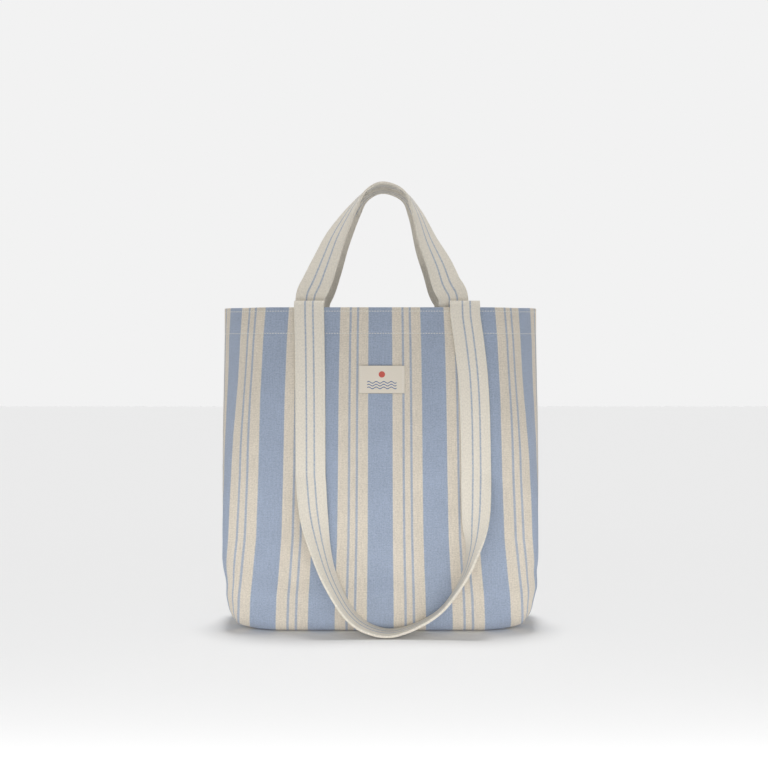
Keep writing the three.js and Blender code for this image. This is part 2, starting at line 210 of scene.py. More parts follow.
SEAM_ROUND = 0.003  # where a panel turns in to its side seam
ALLOWANCE = 0.010
RIM_RISE = 0.0025  # the rim stands a little higher at the side seams
STITCH_PITCH = 0.0034
STITCH_LENGTH = 0.0027
EDGE_ROW_IN = 0.0024  # from a strap's edge to its row of stitches
PATH_STEP = 0.004  # between the rings of a strap or handle

# Along a stitch: the share of its length, the share of its width, and its lift
STITCH_SHAPE = [
    (-0.5, 0.35, -0.7), (-0.32, 0.9, 0.0), (0.0, 1.0, 0.25), (0.32, 0.9, 0.0), (0.5, 0.35, -0.7),
]

# The cloth's stripes: one repeat is a blue band and a cream group with two thin blue lines
REPEAT = 0.0725
BLUE_HALF = 0.0164
LINE_FROM_BLUE = 0.0311  # from the middle of the blue band to the middle of a thin line
LINE_HALF = 0.00145
# How long one repeat lies on the bag, by height: the cloth is eased in towards the mouth
REPEAT_AT = [(0.0, 0.0752), (0.045, 0.0742), (0.12, 0.0708), (0.20, 0.0692), (0.30, 0.0680),
             (0.37, 0.0666), (0.412, 0.0650)]

CREAM = (0.690, 0.622, 0.520)
BLUE = (0.322, 0.385, 0.502)
STRAP_CREAM = (0.800, 0.745, 0.642)
STRAP_LINE_FROM_MIDDLE, STRAP_LINE_HALF = 0.0049, 0.0010

# The label's plain motif
LABEL_GROUND, LABEL_GROUND_CROSSWISE = (0.74, 0.68, 0.585), (0.66, 0.62, 0.535)
WAVE_INK, SUN_INK = (0.065, 0.140, 0.300), (0.560, 0.110, 0.085)
WAVE_LEVELS = (-0.0035, -0.0070, -0.0105)
WAVE_LENGTH, WAVE_HEIGHT, WAVE_HALF_THICK, WAVE_REACH = 0.0095, -0.0011, 0.00055, 0.0185
SUN_LEVEL, SUN_RADIUS = 0.0065, 0.0040


def smoothstep(low, high, value):
    t = np.clip((np.asarray(value, float) - low) / (high - low), 0, 1)
    return t * t * (3 - 2 * t)


def mix(a, b, t):
    return a + (b - a) * t


def bump_at(value, middle, width):
    """A smooth hill of height 1 round the middle."""
    return np.exp(-(((value - middle) / width) ** 2))


def waves(points, size, seed, depth=3):
    """Smooth noise from about -1 to 1 at the points, with features of that size."""
    shift = Vector((seed * 7.31, seed * 3.17, seed * 5.73))
    return np.array([noise.fractal(Vector(p) / size + shift, 1.0, 2.0, depth) for p in points])


# ---- The bag's outer face ------------------------------------------------------------

def between(base, mouth, z):
    return mix(base, mouth, smoothstep(BOXY_BELOW, HEM_BOTTOM, z))


def swell(z):
    return np.sin(np.pi * np.clip(z / HEM_BOTTOM, 0, 1))


def half_depth(z):
    return between(BASE_HALF_DEPTH, MOUTH_HALF_DEPTH, z) + BELLY * swell(z)


def section(z):
    """The length of cloth in a half panel, its flat and its bend, and the bend's turn."""
    bend = between(BASE_BEND, MOUTH_BEND, z)
    turn = between(BASE_TURN, MOUTH_TURN, z)
    radius = bend / turn
    depth = half_depth(z) - LAYER_GAP / 2
    straight = (depth - radius * (1 - np.cos(turn))) / np.sin(turn)
    width = between(BASE_HALF_WIDTH, MOUTH_HALF_WIDTH, z) + SIDE_BELLY * swell(z)
    flat = width - radius * np.sin(turn) - straight * np.cos(turn)
    return flat + bend + straight, flat, bend, turn


def edge_inset(share, z):
    """How far the rounded bottom edge and the slack lower corners pull the wall in."""
    rounding = mix(EDGE_ROUND, CORNER_ROUND, smoothstep(0.5, 0.85, share))
    below = np.clip(1 - z / rounding, 0, 1)
    slack = CORNER_SLACK * smoothstep(0.5, 0.8, share) * smoothstep(SLACK_BELOW, SLACK_FULL_BELOW, z)
    return rounding * (1 - np.sqrt(1 - below * below)) + slack


def front_relief(x, z):
    """How far the front's soft creases stand out of the plain shape."""
    ledge = 0.060 + 0.03 * x + 0.003 * np.sin(31 * x)
    relief = 0.0011 - 0.0056 * smoothstep(ledge - 0.016, ledge + 0.012, z) * smoothstep(0.26, 0.10, z)
    relief = relief - 0.0016 * bump_at(x, -0.060, 0.014) * bump_at(z, 0.350, 0.034)
    relief = relief - 0.0012 * bump_at(x, 0.070, 0.016) * bump_at(z, 0.345, 0.034)
    relief = relief - 0.0022 * bump_at(x, 0.165 - 0.25 * (z - 0.06), 0.010) * bump_at(z, 0.075, 0.050)
    relief = relief - 0.0020 * bump_at(x, -0.172 + 0.20 * (z - 0.06), 0.010) * bump_at(z, 0.070, 0.045)
    return relief


def back_relief(x, z):
    relief = -0.0024 * bump_at(z, 0.100 - 0.05 * x, 0.018) * smoothstep(0.06, -0.06, x)
    relief = relief - 0.0018 * bump_at(x, 0.030, 0.016) * bump_at(z, 0.345, 0.035)
    relief = relief - 0.0022 * bump_at(x, -0.168, 0.012) * bump_at(z, 0.080, 0.050)
    return relief


class Wall:
    """One panel's outer face. q runs from -1 to 1 along the cloth, on to 1.5 through the turn
    into the side seam, and to 2 along the seam allowance."""

    def __init__(self, relief, seed):
        self.relief = relief
        self.seed = seed

    def along(self, q, z):
        half, flat, bend, turn = section(z)
        tight = mix(0.15, 1, smoothstep(0.0, 0.03, z))
        given_up = SEAM_ROUND * tight * (1 + np.cos(turn)) / np.sin(turn)
        return np.minimum(np.abs(q), 1) * (half - given_up), tight

    def point(self, q, z, inset):
        """Points moved in by inset, and how far along the cloth each is from the middle."""
        q, z, inset = np.broadcast_arrays(*(np.asarray(v, float) for v in (q, z, inset)))
        half, flat, bend, turn = section(z)
        along, tight = self.along(q, z)
        side = np.where(q < 0, -1.0, 1.0)
        past_end = np.abs(q) - 1
        heading = turn * np.clip((along - flat) / bend, 0, 1)
        past = np.maximum(0, along - flat - bend)
        radius = bend / turn
        x = np.minimum(along, flat) + radius * np.sin(heading) + past * np.cos(heading)
        y = radius * (1 - np.cos(heading)) + past * np.sin(heading) - half_depth(z)
        edge = edge_inset(along / half, z)
        edge = edge - self.ruffle(side * x, along, z)
        # Pulled in by more than its radius, the bend moves in with the wall on both its sides
        moved = np.maximum(0, edge - (radius - LEAST_RADIUS))
        beside = 1 - past / (half - flat - bend)
        x = x - edge * np.sin(heading) - moved * (1 - np.sin(heading))
        y = y + edge * np.cos(heading) + moved * (1 - np.cos(heading)) * beside
        angle = np.where(past_end > 0, turn + (np.pi - turn) * np.clip(past_end / 0.5, 0, 1), heading)
        start = np.where(past_end > 0, turn, heading)
        x = x + SEAM_ROUND * tight * (np.sin(angle) - np.sin(start))
        y = y + SEAM_ROUND * tight * (np.cos(start) - np.cos(angle))
        allowance = ALLOWANCE * smoothstep(0.010, 0.036, z) * np.clip((past_end - 0.5) / 0.5, 0, 1)
        x = x - allowance - inset * np.sin(angle)
        y = y + inset * np.cos(angle)
        run = along + SEAM_ROUND * tight * (angle - start) + allowance
        rise = RIM_RISE * smoothstep(0.70, 1.0, along / half) * smoothstep(0.30, RIM_Z, z)
        return np.stack([side * x, y, z + rise], axis=-1), side * run

    def ruffle(self, x, along, z):
        """Creases, broad waves and the fine pucker beside the hem's lower stitches."""
        shape = np.shape(z)
        spots = np.stack([x, z * 0.55, np.full(shape, 0.0)], axis=-1).reshape(-1, 3)
        broad = waves(spots, 0.11, self.seed, 2).reshape(shape)
        small = waves(spots, 0.035, self.seed + 1, 2).reshape(shape)
        loose = smoothstep(0.0, 0.05, z) * smoothstep(HEM_BOTTOM + 0.01, HEM_BOTTOM - 0.08, z)
        free = smoothstep(1.0, 0.93, along / section(z)[0])
        total = (0.0017 * broad + 0.0006 * small) * loose
        total = total + self.relief(x, z) * smoothstep(0, 0.02, z)
        pucker = waves(spots * (1, 0, 1), 0.006, self.seed + 2, 2).reshape(shape)
        beside = bump_at(z, HEM_BOTTOM, 0.009)
        groove = bump_at(z, RIM_Z - LOWER_ROW, 0.0011)
        total = total + 0.00035 * pucker * beside - 0.0003 * groove
        return np.minimum(total, 0.0011) * free


FRONT = Wall(front_relief, 1)
BACK = Wall(back_relief, 11)


def repeat_at(z):
    heights, lengths = zip(*REPEAT_AT)
    return np.interp(z, heights, lengths)


def stripe_place(run, z):
    """The place in the stripes, in the cloth's own length, of a point at a run from the middle."""
    return run / repeat_at(z) * REPEAT


# ---- Meshes --------------------------------------------------------------------------

def new_object(name, points, faces, uv=None, smooth=True):
    mesh = bpy.data.meshes.new(name)
    mesh.from_pydata(np.asarray(points, float).tolist(), [], faces)
    # A face with many corners closes an end, so it stays flat
    mesh.polygons.foreach_set("use_smooth", [smooth and len(f) < 8 for f in faces])
    for layer, values in (uv or {}).items():
        corner = np.zeros(len(mesh.loops), np.int32)
        mesh.loops.foreach_get("vertex_index", corner)
        made = mesh.uv_layers.new(name=layer)
        made.data.foreach_set("uv", np.asarray(values, np.float32)[corner].ravel())
    mesh.validate()
    mesh.update()
    obj = bpy.data.objects.new(name, mesh)
    bpy.context.scene.collection.objects.link(obj)
    return obj


def grid_faces(rows, columns, first=0, flipped=False, closed=False):
    """Quads of a grid of points that are stored row by row."""
    faces = []
    for r in range(rows - 1):
        for c in range(columns if closed else columns - 1):
            n = (c + 1) % columns
            quad = [r * columns + c, r * columns + n, (r + 1) * columns + n, (r + 1) * columns + c]
            faces.append([first + i for i in (reversed(quad) if flipped else quad)])
    return faces


def grid_normals(grid):
    across = np.gradient(grid, axis=1)
    down = np.gradient(grid, axis=0)
    normal = np.cross(across, down)
    return normal / np.maximum(np.linalg.norm(normal, axis=-1, keepdims=True), 1e-12)


def sheet_object(name, grid, uv, thickness, flipped=False):
    """A closed sheet: a grid of points with its front towards the grid's normals, and a
    back face the thickness behind it."""
    rows, columns = grid.shape[:2]
    sign = -1 if flipped else 1
    behind = grid + sign * thickness * grid_normals(grid)
    behind[..., 2] = np.maximum(behind[..., 2], 0)  # nothing goes below the floor
    count = rows * columns
    faces = grid_faces(rows, columns, 0, not flipped) + grid_faces(rows, columns, count, flipped)
    ring = [(0, c) for c in range(columns)] + [(r, columns - 1) for r in range(1, rows)]
    ring += [(rows - 1, c) for c in range(columns - 2, -1, -1)]
    ring += [(r, 0) for r in range(rows - 2, 0, -1)]
    ids = [r * columns + c for r, c in ring]
    for a, b in zip(ids, ids[1:] + ids[:1]):
        side = [a, b, b + count, a + count]
        faces.append(side if flipped else side[::-1])
    points = np.concatenate([grid.reshape(-1, 3), behind.reshape(-1, 3)])
    doubled = {layer: np.concatenate([v.reshape(-1, 2)] * 2) for layer, v in uv.items()}
    return new_object(name, points, [list(f) for f in faces], doubled)


def mirror(points):
    return np.asarray(points) * (1, -1, 1)


def stitches(name, places, length=STITCH_LENGTH, width=0.0007, height=0.0005, sides=6):
    """Short raised stitches. places holds, for each, its middle, its direction and the way it
    stands out."""
    middle, along, out = (np.array([p[i] for p in places], float) for i in range(3))
    along = along / np.linalg.norm(along, axis=1, keepdims=True)
    out = out - along * np.sum(out * along, axis=1, keepdims=True)
    out = out / np.linalg.norm(out, axis=1, keepdims=True)
    across = np.cross(along, out)
    rings = []
    for place, size, lift in STITCH_SHAPE:
        for k in range(sides):
            angle = 2 * math.pi * k / sides
            ring = middle + along * (length * place) + across * (width / 2 * size * math.cos(angle))
            ring = ring + out * (height / 2 * (size * math.sin(angle) + lift))
            rings.append(ring)
    per = len(rings)
    points = np.stack(rings, axis=1).reshape(-1, 3)
    one = [list(range(sides))[::-1], [per - sides + k for k in range(sides)]]
    one += grid_faces(len(STITCH_SHAPE), sides, closed=True)
    faces = [[i * per + v for v in f] for i in range(len(places)) for f in one]
    run = np.tile(np.repeat([s[0] for s in STITCH_SHAPE], sides), len(places))
    turn = np.tile(np.arange(sides) / sides, len(places) * len(STITCH_SHAPE))
    return new_object(name, points, faces, {"cloth": np.stack([run * length, turn * width], axis=-1)})


# ---- Materials -----------------------------------------------------------------------

class Material:
    """A small helper that adds nodes and joins them."""

    def __init__(self, name):
        self.material = bpy.data.materials.new(name)
        self.material.use_nodes = True
        self.tree = self.material.node_tree
        self.tree.nodes.clear()
        self.shader = self.tree.nodes.new("ShaderNodeBsdfPrincipled")
        output = self.tree.nodes.new("ShaderNodeOutputMaterial")
        self.tree.links.new(self.shader.outputs[0], output.inputs["Surface"])

    def feed(self, socket, value):
        if isinstance(value, bpy.types.NodeSocket):
            self.tree.links.new(value, socket)
        else:
            socket.default_value = value

    def math(self, operation, a, b=0.0, c=0.0, clamp=False):
        node = self.tree.nodes.new("ShaderNodeMath")
        node.operation = operation
        node.use_clamp = clamp
        for socket, value in zip(node.inputs, (a, b, c)):
            self.feed(socket, value)
        return node.outputs[0]

    def uv(self, layer):
        node = self.tree.nodes.new("ShaderNodeUVMap")
        node.uv_map = layer
        split = self.tree.nodes.new("ShaderNodeSeparateXYZ")
        self.tree.links.new(node.outputs[0], split.inputs[0])
        return node.outputs[0], split.outputs[0], split.outputs[1]

    def place(self, vector, scale, shift=(0, 0, 0)):
        node = self.tree.nodes.new("ShaderNodeMapping")
        self.feed(node.inputs["Vector"], vector)
        node.inputs["Scale"].default_value = scale
        node.inputs["Location"].default_value = shift
        return node.outputs[0]

    def noise(self, vector, scale, detail=2.0, roughness=0.5):
        node = self.tree.nodes.new("ShaderNodeTexNoise")
        self.feed(node.inputs["Vector"], vector)
        node.inputs["Scale"].default_value = scale
        node.inputs["Detail"].default_value = detail
        node.inputs["Roughness"].default_value = roughness
        return node.outputs[0]

    def remap(self, value, low, high, to_low, to_high):
        node = self.tree.nodes.new("ShaderNodeMapRange")
        for socket, v in zip(node.inputs, (value, low, high, to_low, to_high)):
            self.feed(socket, v)
        return node.outputs[0]

    def mix(self, share, a, b, blend="MIX"):
        node = self.tree.nodes.new("ShaderNodeMix")
        node.data_type = "RGBA"
        node.blend_type = blend
        self.feed(node.inputs[0], share)
        self.feed(node.inputs[6], a if isinstance(a, bpy.types.NodeSocket) else (*a, 1))
        self.feed(node.inputs[7], b if isinstance(b, bpy.types.NodeSocket) else (*b, 1))
        return node.outputs[2]

    def scaled(self, colour, factor):
        """A colour made lighter or darker by a factor that changes over the surface."""
        node = self.tree.nodes.new("ShaderNodeVectorMath")
        node.operation = "SCALE"
        self.feed(node.inputs[0], colour)
        self.feed(node.inputs["Scale"], factor)
        return node.outputs[0]

    def bump(self, height, distance, strength=1.0):
        node = self.tree.nodes.new("ShaderNodeBump")
        node.inputs["Strength"].default_value = strength
        node.inputs["Distance"].default_value = distance
        self.feed(node.inputs["Height"], height)
        self.tree.links.new(node.outputs[0], self.shader.inputs["Normal"])

    def finish(self, colour, roughness=0.88, sheen=0.25, sheen_tint=(0.9, 0.9, 0.9)):
        self.feed(self.shader.inputs["Base Color"], colour)
        self.feed(self.shader.inputs["Roughness"], roughness)
        self.shader.inputs["Specular IOR Level"].default_value = 0.25
        self.shader.inputs["Sheen Weight"].default_value = sheen
        self.shader.inputs["Sheen Roughness"].default_value = 0.45
        self.shader.inputs["Sheen Tint"].default_value = (*sheen_tint, 1)
        return self.material


def weave(m, u, v, pitch):
    """The height of a plain weave, 0 to 1, and the share of the crosswise yarn on top."""
    wave_u = m.math("SINE", m.math("MULTIPLY", u, 2 * math.pi / pitch))
    wave_v = m.math("SINE", m.math("MULTIPLY", v, 2 * math.pi / pitch))
    checker = m.math("MULTIPLY", wave_u, wave_v)
    height = m.math("POWER", m.math("ABSOLUTE", checker), 0.6)
    crosswise = m.remap(checker, -0.25, 0.25, 0.0, 1.0)
    return height, crosswise


def band(m, distance, half, soft):
    """1 within half of the middle and 0 beyond it, with a soft edge."""
    return m.remap(distance, half - soft, half + soft, 1.0, 0.0)


def striped_canvas():
    m = Material("striped_canvas")
    cloth, u, v = m.uv("cloth")
    stripe = m.uv("stripe")[1]
    flecks = m.noise(m.place(cloth, (1100, 420, 1)), 1.0, 2.0, 0.6)
    wander = m.noise(m.place(cloth, (260, 900, 1)), 1.0, 2.0, 0.7)
    edge = m.math("MULTIPLY_ADD", wander, 0.0011, -0.00055)
    place = m.math("ADD", stripe, edge)
    distance = m.math("PINGPONG", place, REPEAT / 2)
    broad_band = band(m, distance, BLUE_HALF, 0.00025)
    line_distance = m.math("ABSOLUTE", m.math("SUBTRACT", distance, LINE_FROM_BLUE))
    thin_line = band(m, line_distance, LINE_HALF, 0.0003)
    thin_share = m.math("MULTIPLY", thin_line, 0.86)
    blue_share = m.math("MAXIMUM", broad_band, thin_share)
    height, crosswise = weave(m, u, v, 0.0011)
    pale_yarn = m.math("MULTIPLY", crosswise, m.remap(flecks, 0.35, 0.75, 0.0, 0.45))
    blue = m.mix(pale_yarn, BLUE, (0.56, 0.60, 0.66))
    cream = m.mix(m.math("MULTIPLY", crosswise, 0.25), CREAM, (0.69, 0.66, 0.60))
    colour = m.mix(blue_share, cream, blue)
    mottled = m.noise(m.place(cloth, (430, 640, 1)), 1.0, 3.0, 0.65)
    cloudy = m.noise(m.place(cloth, (14, 22, 1)), 1.0, 2.0, 0.5)
    slubs = m.noise(m.place(cloth, (60, 1500, 1)), 1.0, 1.0, 0.5)
    ribs = m.noise(m.place(cloth, (900, 45, 1)), 1.0, 1.0, 0.5)
    lightness = m.remap(mottled, 0.3, 0.7, 0.85, 1.15)
    for layer, amount in ((cloudy, 0.035), (slubs, 0.05), (ribs, 0.05)):
        lightness = m.math("ADD", lightness, m.remap(layer, 0.3, 0.7, -amount, amount))
    shaded = m.scaled(colour, lightness)
    yarn = m.math("MULTIPLY_ADD", slubs, 0.6, height)
    m.bump(m.math("MULTIPLY_ADD", flecks, 0.5, yarn), 0.00022, 0.8)
    roughness = m.remap(mottled, 0.2, 0.8, 0.82, 0.94)
    return m.finish(shaded, roughness)


def strap_canvas():
    m = Material("strap_canvas")
    cloth, u, v = m.uv("cloth")
    stripe = m.uv("stripe")[1]
    flecks = m.noise(m.place(cloth, (1000, 500, 1)), 1.0, 2.0, 0.6)
    wander = m.noise(m.place(cloth, (260, 700, 1)), 1.0, 2.0, 0.7)
    place = m.math("ADD", stripe, m.math("MULTIPLY_ADD", wander, 0.0010, -0.0005))
    line_distance = m.math("ABSOLUTE", m.math("SUBTRACT", m.math("ABSOLUTE", place), STRAP_LINE_FROM_MIDDLE))
    thin_line = band(m, line_distance, STRAP_LINE_HALF, 0.0004)
    broken = m.remap(m.noise(m.place(cloth, (420, 330, 1)), 1.0, 2.0, 0.7), 0.34, 0.60, 0.62, 1.0)
    height, crosswise = weave(m, u, v, 0.0010)
    cream = m.mix(m.math("MULTIPLY", crosswise, 0.3), STRAP_CREAM, (0.70, 0.67, 0.61))
    pale_yarn = m.math("MULTIPLY", crosswise, m.remap(flecks, 0.35, 0.75, 0.05, 0.45))
    blue = m.mix(pale_yarn, BLUE, (0.6, 0.62, 0.66))
    colour = m.mix(m.math("MULTIPLY", thin_line, broken), cream, blue)
    mottled = m.noise(m.place(cloth, (500, 420, 1)), 1.0, 3.0, 0.65)
    # Painted shade: colour within about a millimetre of each strap edge, the rounded edge and its groove, is made up
    # to 4% darker as shade on the edge
    edge_shade = band(m, m.math("SUBTRACT", STRAP_WIDTH / 2, m.math("ABSOLUTE", u)), 0.0005, 0.0005)
    uneven_dye = m.remap(mottled, 0.3, 0.7, 0.90, 1.10)
    lightness = m.math("SUBTRACT", uneven_dye, m.math("MULTIPLY", edge_shade, 0.04))
    m.bump(m.math("MULTIPLY_ADD", flecks, 0.6, height), 0.0002, 0.75)
    return m.finish(m.scaled(colour, lightness), 0.86)


def plain_cloth(name, colour, pitch, depth):
    """Tape and thread: one dyed colour with yarns across it."""
    m = Material(name)
    cloth, u, v = m.uv("cloth")
    height, crosswise = weave(m, u, v, pitch)
    mottled = m.noise(m.place(cloth, (400, 400, 1)), 1.0, 2.0, 0.6)
    lightness = m.remap(mottled, 0.25, 0.75, 0.94, 1.05)
    darker = m.mix(m.math("MULTIPLY", crosswise, 0.2), colour, tuple(c * 0.8 for c in colour))
    m.bump(height, depth, 0.8)
    return m.finish(m.scaled(darker, lightness), 0.8)


def label_cloth():
    """A woven label with a plain motif: a small round sun over three wavy lines."""
    m = Material("label_cloth")
    cloth, u, v = m.uv("cloth")
    height, crosswise = weave(m, u, v, 0.0006)
    ground = m.mix(m.math("MULTIPLY", crosswise, 0.3), LABEL_GROUND, LABEL_GROUND_CROSSWISE)
    swing = m.math("SINE", m.math("MULTIPLY", u, 2 * math.pi / WAVE_LENGTH))
    inside = band(m, m.math("ABSOLUTE", u), WAVE_REACH, 0.0002)
    ink = None
    for level in WAVE_LEVELS:
        line = m.math("MULTIPLY_ADD", swing, WAVE_HEIGHT, m.math("SUBTRACT", v, level))
        mark = m.math("MULTIPLY", band(m, m.math("ABSOLUTE", line), WAVE_HALF_THICK, 0.00015), inside)
        ink = mark if ink is None else m.math("MAXIMUM", ink, mark)
    waved = m.mix(ink, ground, WAVE_INK)
    up = m.math("POWER", m.math("SUBTRACT", v, SUN_LEVEL), 2.0)
    from_middle = m.math("SQRT", m.math("ADD", up, m.math("POWER", u, 2.0)))
    colour = m.mix(band(m, from_middle, SUN_RADIUS, 0.00015), waved, SUN_INK)
    m.bump(height, 0.00012, 0.7)
    return m.finish(colour, 0.75)


CANVAS = striped_canvas()
STRAP = strap_canvas()
BINDING = plain_cloth("seam_binding", (0.70, 0.66, 0.57), 0.0008, 0.00015)
THREAD = plain_cloth("thread", (0.80, 0.78, 0.72), 0.0004, 0.00008)
LABEL = label_cloth()


def dress(obj, material, slot):
    obj.data.materials.append(material)
    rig.slot(obj, slot)
    return obj


# ---- Panels --------------------------------------------------------------------------

COLUMNS = np.concatenate([
    np.linspace(-2, -1.5, 3)[:-1],
    np.linspace(-1.5, -1, 6)[:-1],
    np.linspace(-1, 1, 139),
    np.linspace(1, 1.5, 6)[1:],
    np.linspace(1.5, 2, 3)[1:],
])
BASE_END_COLUMN = 8  # the second column of the face, just inside the side seam
FOLD_ROUND = CLOTH + LAYER_GAP / 2
FOLD_Z = RIM_Z - FOLD_ROUND


def panel_rows():
    """Height and inset of each row: up the hem inside, over the rim and down the outside."""
    rows = [(z, 2 * FOLD_ROUND) for z in np.linspace(HEM_BOTTOM, FOLD_Z, 12)[:-1]]
    for angle in np.linspace(0, math.pi, 9):
        rows.append((FOLD_Z + FOLD_ROUND * math.sin(angle), FOLD_ROUND * (1 + math.cos(angle))))
    row_z = RIM_Z - LOWER_ROW
    fine = [row_z + d for d in (0.003, 0.0016, 0.0008, 0.0, -0.0008, -0.0016, -0.003)]
    rows += [(z, 0.0) for z in np.linspace(FOLD_Z, fine[0], 10)[1:-1]]
    rows += [(z, 0.0) for z in fine]
    rows += [(z, 0.0) for z in np.linspace(fine[-1], CORNER_ROUND, 98)[1:]]
    rows += [(CORNER_ROUND * (1 - math.sin(a)), 0.0) for a in np.linspace(0, math.pi / 2, 18)[1:]]
    return rows


def panel(name, wall, back, stands_for):
    rows = panel_rows()
    z = np.array([r[0] for r in rows])[:, None] + 0 * COLUMNS[None, :]
    inset = np.array([r[1] for r in rows])[:, None] + 0 * z
    grid, run = wall.point(COLUMNS[None, :] + 0 * z, z, inset)
    stripe = stripe_place(run, z)
    step = np.linalg.norm(np.diff(grid[:, len(COLUMNS) // 2], axis=0), axis=1)
    down = np.concatenate([[0], np.cumsum(step)])[:, None] + 0 * z
    floor = grid[-1]
    base, base_stripe, base_down = [], [], []
    for t in np.linspace(0, 1, 12)[1:]:
        end = np.stack([floor[:, 0], 0 * floor[:, 1] - LAYER_GAP / 2, floor[:, 2]], axis=-1)
        end[:, 0] = np.clip(COLUMNS, -1, 1) * abs(floor[BASE_END_COLUMN, 0])
        row = mix(floor, end, t)
        base.append(row)
        base_stripe.append(mix(stripe[-1], row[:, 0] / repeat_at(0.0) * REPEAT, min(1, 3 * t)))
        base_down.append(down[-1] + t * abs(floor[len(COLUMNS) // 2, 1]))
    grid = np.concatenate([grid, np.array(base)])
    stripe = np.concatenate([stripe, np.array(base_stripe)])
    down = np.concatenate([down, np.array(base_down)])
    run = np.concatenate([run, np.array(base)[:, :, 0]])
    if back:
        grid = mirror(grid)
    uv = {"cloth": np.stack([run, down], axis=-1), "stripe": np.stack([stripe, down], axis=-1)}
    obj = sheet_object(name, grid, uv, CLOTH, flipped=back)
    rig.ride(dress(obj, CANVAS, "striped_canvas"), "root")
    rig.replaces(obj, *stands_for)
    return obj


front_panel = panel("front_panel_cloth", FRONT, False, ["front_panel", "front_hem_facing"])
back_panel = panel("back_panel_cloth", BACK, True, ["back_panel", "back_hem_facing"])


# ---- Ribbons: the path of each handle and strap --------------------------------------

def centre_of(node):
    low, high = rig.box(node)
    return (low + high) / 2


LEFT_END = centre_of("front_strap_left_end")
RIGHT_END = centre_of("front_strap_right_end")
HANDLE_LEFT = centre_of("front_handle_left_end")
HANDLE_RIGHT = centre_of("front_handle_right_end")
END_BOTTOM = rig.box("front_strap_left_end")[0].z
HANDLE_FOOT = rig.box("front_short_handle")[0].z
HANDLE_RISE = 0.1515
HANDLE_TOP = HANDLE_FOOT + HANDLE_RISE
LEG_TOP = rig.box("front_strap_left_leg")[1].z
LEG_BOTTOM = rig.box("front_strap_left_leg")[0].z
LOOP_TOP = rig.box("front_strap_loop")[1].z
HALF_THICK = STRAP_THICKNESS / 2
LOOP_OFF_FLOOR = 0.0018
LOOP_LOW = LOOP_OFF_FLOOR + STRAP_THICKNESS / 2
LEFT_DRIFT, RIGHT_DRIFT = 0.002, 0.014  # how far each leg moves towards +X on its way down

# Stations: the share of the span, the share of the height, and the turn in degrees
LEG_SHAPE = [(0, 1, 0), (0.03, 0.94, 0), (0.36, 0.78, 0), (0.7, 0.58, 0), (0.88, 0.36, 0), (1, 0, 0)]
LOOP_SHAPE = [
    (0, 1, 0), (0.02, 0.75, 25), (0.06, 0.54, 52), (0.12, 0.34, 67), (0.23, 0.13, 76),
    (0.32, 0.045, 82), (0.46, 0, 88), (0.60, 0.03, 92), (0.78, 0.14, 94), (0.915, 0.34, 88),
    (0.975, 0.53, 70), (0.995, 0.73, 30), (1, 1, 0),
]
HANDLE_SHAPE = [
    (0, 0, 0), (0.006, 0.04, 1), (0.045, 0.14, 8), (0.105, 0.33, 28), (0.175, 0.55, 46), (0.3, 0.82, 71),
    (0.38, 0.94, 84), (0.5, 1, 90), (0.66, 0.94, 84), (0.745, 0.78, 70), (0.83, 0.5, 48),
    (0.905, 0.29, 28), (0.955, 0.12, 8), (0.993, 0.04, 1), (1, 0, 0),
]


def spline(stations, steps):
    """A centripetal Catmull-Rom curve through the stations."""
    p = np.array(stations, float)
    p = np.concatenate([[2 * p[0] - p[1]], p, [2 * p[-1] - p[-2]]])
    spans = len(p) - 3
    made = []
    for t in np.linspace(0, spans, steps + 1):
        i = min(int(t), spans - 1)
        w = t - i
        p0, p1, p2, p3 = p[i : i + 4]
        pairs = ((p0, p1), (p1, p2), (p2, p3))
        d0, d1, d2 = (max(np.linalg.norm(b - a), 1e-8) ** 0.5 for a, b in pairs)
        t1 = ((p1 - p0) / d0 - (p2 - p0) / (d0 + d1) + (p2 - p1) / d1) * d1
        t2 = ((p2 - p1) / d1 - (p3 - p1) / (d1 + d2) + (p3 - p2) / d2) * d1
        square = 3 * (p2 - p1) - 2 * t1 - t2
        cube = 2 * (p1 - p2) + t1 + t2
        made.append(p1 + t1 * w + square * w * w + cube * w ** 3)
    return np.array(made)


def ribbon(stations, steps, outward, depth_of):
    """Middle, across and face direction along a strap, from stations of x, z and turn."""
    line = spline([(x * 1000, turn, z * 1000) for x, z, turn in stations], steps)
    turn = np.radians(line[:, 1])
    x, z = line[:, 0] / 1000, line[:, 2] / 1000
    middle = np.stack([x, depth_of(z, turn), z], axis=-1)
    tangent = np.gradient(middle, axis=0)
    tangent /= np.linalg.norm(tangent, axis=1, keepdims=True)
    flat_out = np.stack([tangent[:, 2], 0 * turn, -tangent[:, 0]], axis=-1)
    flat_out /= np.linalg.norm(flat_out, axis=1, keepdims=True)
    across = outward * np.cos(turn)[:, None] * flat_out
    across[:, 1] -= outward * np.sin(turn)
    return middle, across


def strap_depth(z, turn):
    edge_on = np.sin(turn)
    reach = (STRAP_WIDTH / 2) * edge_on + HALF_THICK * (1 - edge_on)
    return -half_depth(z) - STRAP_STANDOFF - reach


def handle_depth(z, turn):
    top = -(STRAP_WIDTH + 0.002) / 2
    return mix(HANDLE_LEFT.y, top, smoothstep(HANDLE_FOOT, HANDLE_TOP, z))


def leg(end_x, drift):
    fall = LEG_TOP - LEG_BOTTOM
    stations = [(end_x + across * drift, LEG_BOTTOM + up * fall, turn) for across, up, turn in LEG_SHAPE]
    return ribbon(stations, 60, 1, strap_depth)


def tucked(end, top, across_x, count=12):
    z = np.linspace(END_BOTTOM, top, count)
    middle = np.stack([0 * z + end.x, 0 * z + end.y, z], axis=-1)
    return middle, np.tile([across_x, 0.0, 0.0], (count, 1))


